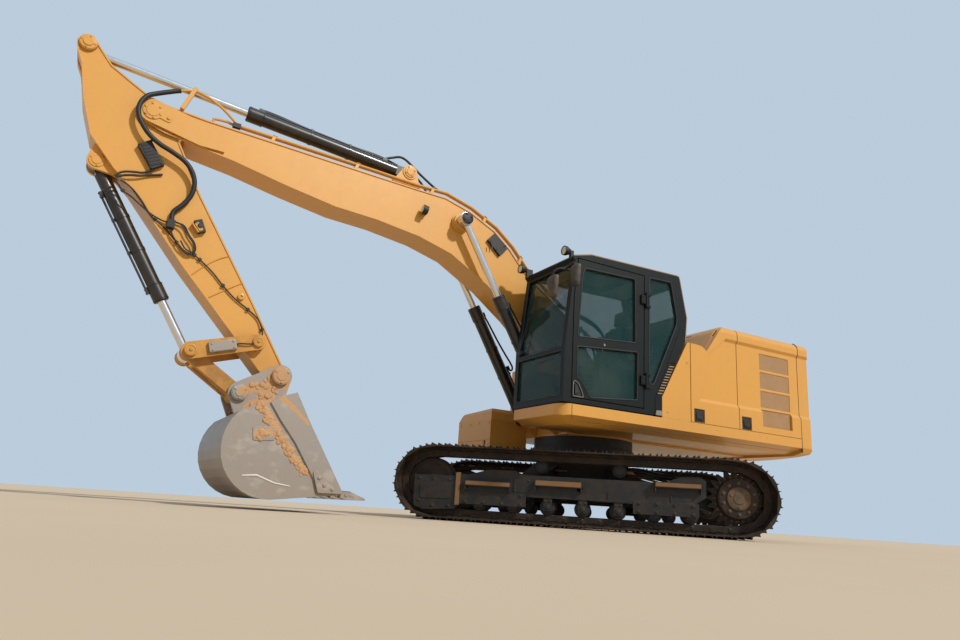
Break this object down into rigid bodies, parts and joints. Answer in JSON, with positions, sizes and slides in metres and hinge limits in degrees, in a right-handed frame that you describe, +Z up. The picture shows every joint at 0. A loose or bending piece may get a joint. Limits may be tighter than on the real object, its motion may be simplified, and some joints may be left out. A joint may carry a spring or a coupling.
{
  "type": "crawler excavator",
  "caption": "Hydraulic crawler excavator with a turning upper structure, cab, gooseneck boom, stick and bucket, standing on steel tracks.",
  "frame": {"origin": "middle of the machine's box on the ground under the tracks", "axes": "+X the way the boom points, +Y the cab side (left), +Z up"},
  "size_m": [9.1669, 4.7077, 4.344],
  "materials": {
    "paint": "satin",
    "track_steel": "rough",
    "undercarriage_paint": "matte",
    "cylinder_paint": "gloss",
    "rod_chrome": "polished",
    "cab_paint": "satin",
    "window": "tinted",
    "seat_cloth": "woven",
    "plastic": "moulded",
    "bucket_steel": "worn",
    "engine_paint": "rough",
    "hose": "smooth",
    "lamp": "clear"
  },
  "bodies": {
    "undercarriage": {"carbody": "undercarriage_paint", "track_frame_left": "undercarriage_paint", "track_frame_right": "undercarriage_paint", "track_left": "track_steel", "track_right": "track_steel", "sprockets": "undercarriage_paint", "idlers": "undercarriage_paint", "bottom_rollers": "undercarriage_paint", "carrier_rollers": "undercarriage_paint", "slew_ring": "undercarriage_paint"},
    "upper": {"main_frame": "paint", "left_platform": "paint", "right_platform": "paint", "counterweight": "paint", "engine_bay": "paint", "engine_block": "engine_paint", "cooling_pack": "engine_paint", "exhaust_pipe": "engine_paint", "step_box": "paint", "fuel_tank": "paint", "oil_tank": "paint", "handrails": "cab_paint", "cab_frame": "cab_paint", "cab_glass": "window", "seat": "seat_cloth", "cab_controls": "plastic", "cab_lamps": "lamp", "mirrors": "plastic"},
    "cab_door": {"cab_door": "cab_paint", "cab_door_glass": "window"},
    "bay_door_front": {"bay_door_front": "paint"},
    "bay_door_rear": {"bay_door_rear": "paint"},
    "bay_door_right": {"bay_door_right": "paint"},
    "hood": {"hood": "paint"},
    "boom": {"boom": "paint", "boom_pipes": "paint", "boom_fittings": "plastic"},
    "boom_barrels": {"boom_barrels": "cylinder_paint"},
    "boom_rods": {"boom_rods": "rod_chrome"},
    "stick_barrel": {"stick_barrel": "cylinder_paint"},
    "stick_rod": {"stick_rod": "rod_chrome"},
    "stick": {"stick": "paint", "stick_fittings": "plastic", "stick_hose": "hose"},
    "bucket_barrel": {"bucket_barrel": "cylinder_paint"},
    "bucket_rod": {"bucket_rod": "rod_chrome"},
    "idler_links": {"idler_links": "paint"},
    "power_link": {"power_link": "paint"},
    "bucket": {"bucket": "bucket_steel", "bucket_teeth": "bucket_steel"}
  },
  "joints": [
    {"name": "slew", "type": "hinge", "parent": "undercarriage", "child": "upper", "pos_m": [-1.6635, 0, 1.06], "axis": [0, 0, 1], "continuous": true},
    {"name": "boom_lift", "type": "hinge", "parent": "upper", "child": "boom", "pos_m": [-1.5555, 0, 1.831], "axis": [0, -1, 0], "range_deg": [-52, 42]},
    {"name": "boom_barrel_turn", "type": "hinge", "parent": "upper", "child": "boom_barrels", "pos_m": [-0.9455, 0, 1.265], "axis": [0, -1, 0], "range_deg": [-50.18, 40.53]},
    {"name": "boom_rod_slide", "type": "slide", "parent": "boom_barrels", "child": "boom_rods", "axis": [0.5196, 0, 0.8544], "range_m": [-0.69527, 0.56166]},
    {"name": "stick_turn", "type": "hinge", "parent": "boom", "child": "stick", "pos_m": [3.82219, 0, 3.72057], "axis": [0, 1, 0], "range_deg": [-115, 4], "deforming": ["stick_hose"]},
    {"name": "stick_barrel_turn", "type": "hinge", "parent": "boom", "child": "stick_barrel", "pos_m": [1.03628, 0, 3.92986], "axis": [0, 1, 0], "range_deg": [-5.99, 0.21]},
    {"name": "stick_rod_slide", "type": "slide", "parent": "stick_barrel", "child": "stick_rod", "axis": [0.9957, 0, 0.0924], "range_m": [-1.32987, 0.04674]},
    {"name": "bucket_curl", "type": "hinge", "parent": "stick", "child": "bucket", "pos_m": [2.23214, 0, 1.29533], "axis": [0, 1, 0], "range_deg": [-45, 125]},
    {"name": "idler_link_turn", "type": "hinge", "parent": "stick", "child": "idler_links", "pos_m": [2.50668, 0, 1.59006], "axis": [0, 1, 0], "range_deg": [-25.88, 71.89]},
    {"name": "power_link_turn", "type": "hinge", "parent": "bucket", "child": "power_link", "pos_m": [2.60629, 0, 1.07993], "axis": [0, 1, 0], "range_deg": [-90.43, 32.56]},
    {"name": "bucket_barrel_turn", "type": "hinge", "parent": "stick", "child": "bucket_barrel", "pos_m": [4.20631, 0, 3.11], "axis": [0, 1, 0], "range_deg": [-0.68, 1.88]},
    {"name": "bucket_rod_slide", "type": "slide", "parent": "bucket_barrel", "child": "bucket_rod", "axis": [-0.5412, 0, -0.8409], "range_m": [-0.25784, 0.71533]},
    {"name": "cab_door_swing", "type": "hinge", "parent": "upper", "child": "cab_door", "pos_m": [-1.4705, 1.392, 2.05], "axis": [0, 0, 1], "range_deg": [0, 160]},
    {"name": "bay_door_front_swing", "type": "hinge", "parent": "upper", "child": "bay_door_front", "pos_m": [-2.9355, 1.384, 1.8], "axis": [0, 0, 1], "range_deg": [0, 100]},
    {"name": "bay_door_rear_swing", "type": "hinge", "parent": "upper", "child": "bay_door_rear", "pos_m": [-4.0385, 1.384, 1.8], "axis": [0, 0, 1], "range_deg": [0, 100]},
    {"name": "bay_door_right_swing", "type": "hinge", "parent": "upper", "child": "bay_door_right", "pos_m": [-4.0385, -1.384, 1.8], "axis": [0, 0, -1], "range_deg": [0, 100]},
    {"name": "hood_lift", "type": "hinge", "parent": "upper", "child": "hood", "pos_m": [-3.9235, 0, 2.504], "axis": [0, -1, 0], "range_deg": [0, 60]}
  ],
  "couplings": [
    {"joint": "boom_barrel_turn", "follows": "boom_lift", "ratio": 0.963},
    {"joint": "boom_rod_slide", "follows": "boom_lift", "m_per_rad": 0.764},
    {"joint": "stick_barrel_turn", "follows": "stick_turn", "ratio": 0.052},
    {"joint": "stick_rod_slide", "follows": "stick_turn", "m_per_rad": 0.661},
    {"joint": "idler_link_turn", "follows": "bucket_curl", "ratio": 0.574},
    {"joint": "power_link_turn", "follows": "bucket_curl", "ratio": -0.722},
    {"joint": "bucket_barrel_turn", "follows": "bucket_curl", "ratio": 0.015},
    {"joint": "bucket_rod_slide", "follows": "bucket_curl", "m_per_rad": 0.327}
  ]
}
